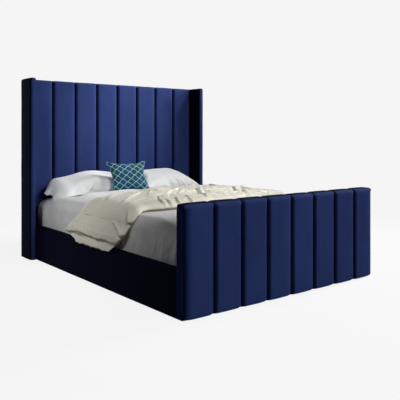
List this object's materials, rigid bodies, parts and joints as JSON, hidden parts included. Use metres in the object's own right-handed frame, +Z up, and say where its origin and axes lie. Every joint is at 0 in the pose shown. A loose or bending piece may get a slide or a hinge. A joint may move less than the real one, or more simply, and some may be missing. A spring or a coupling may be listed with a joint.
{
  "type": "wingback bed",
  "caption": "Upholstered double bed with a tall wingback headboard, channelled headboard and footboard, slatted base, mattress and bedding.",
  "frame": {"origin": "on the floor, in the middle of the overall width and length", "axes": "+X to the right seen from the foot end, +Y towards the headboard, +Z up; the footboard faces -Y"},
  "size_m": [1.722, 2.147, 1.43],
  "materials": {
    "navy_velvet": "matte",
    "pine": "matte",
    "plywood": "matte",
    "birch": "satin",
    "black_lining": "matte",
    "zinc_steel": "satin",
    "black_steel": "satin",
    "black_plastic": "matte",
    "mattress_ticking": "matte",
    "white_cotton": "matte",
    "pillow_cotton": "matte",
    "cream_cotton": "matte",
    "trellis_cotton": "matte"
  },
  "bodies": {
    "bed": {"centre_beam": "pine", "centre_beam_brackets": "black_steel", "centre_leg_feet": "black_plastic", "centre_legs": "pine", "centre_slat_holders": "black_plastic", "corner_bolts": "zinc_steel", "corner_brackets": "black_steel", "floor_glides": "black_plastic", "footboard_back_board": "plywood", "footboard_bottom_rail": "pine", "footboard_channel_1": "navy_velvet", "footboard_channel_2": "navy_velvet", "footboard_channel_3": "navy_velvet", "footboard_channel_4": "navy_velvet", "footboard_channel_5": "navy_velvet", "footboard_channel_6": "navy_velvet", "footboard_channel_7": "navy_velvet", "footboard_channel_8": "navy_velvet", "footboard_cover": "navy_velvet", "footboard_front_board": "plywood", "footboard_top_rail": "pine", "footboard_uprights": "pine", "headboard_back_cloth": "black_lining", "headboard_base_cover": "navy_velvet", "headboard_battens": "pine", "headboard_board": "plywood", "headboard_bottom_rail": "pine", "headboard_channel_1": "navy_velvet", "headboard_channel_2": "navy_velvet", "headboard_channel_3": "navy_velvet", "headboard_channel_4": "navy_velvet", "headboard_channel_5": "navy_velvet", "headboard_channel_6": "navy_velvet", "headboard_channel_7": "navy_velvet", "headboard_channel_8": "navy_velvet", "headboard_stile_left": "pine", "headboard_stile_right": "pine", "headboard_top_rail": "pine", "outer_slat_holders": "black_plastic", "side_rail_cover_left": "navy_velvet", "side_rail_cover_right": "navy_velvet", "side_rail_left": "pine", "side_rail_right": "pine", "slat_ledge_left": "pine", "slat_ledge_right": "pine", "slats_left": "birch", "slats_right": "birch", "wing_bolts": "zinc_steel", "wing_core_left": "pine", "wing_core_right": "pine", "wing_cover_left": "navy_velvet", "wing_cover_right": "navy_velvet"},
    "mattress": {"mattress": "mattress_ticking", "fitted_sheet": "white_cotton"},
    "duvet": {"duvet": "cream_cotton"},
    "pillow_left": {"pillow_left": "pillow_cotton"},
    "pillow_right": {"pillow_right": "pillow_cotton"},
    "cushion": {"cushion": "trellis_cotton"}
  },
  "joints": [
    {"name": "mattress_lift", "type": "slide", "parent": "bed", "child": "mattress", "axis": [0, 0, 1], "range_m": [0, 0.45]},
    {"name": "duvet_lift", "type": "slide", "parent": "mattress", "child": "duvet", "axis": [0, 0, 1], "range_m": [0, 0.4]},
    {"name": "pillow_left_lift", "type": "slide", "parent": "mattress", "child": "pillow_left", "axis": [0, 0, 1], "range_m": [0, 0.3]},
    {"name": "pillow_right_lift", "type": "slide", "parent": "mattress", "child": "pillow_right", "axis": [0, 0, 1], "range_m": [0, 0.3]},
    {"name": "cushion_lift", "type": "slide", "parent": "pillow_left", "child": "cushion", "axis": [0, 0, 1], "range_m": [0, 0.3]}
  ]
}
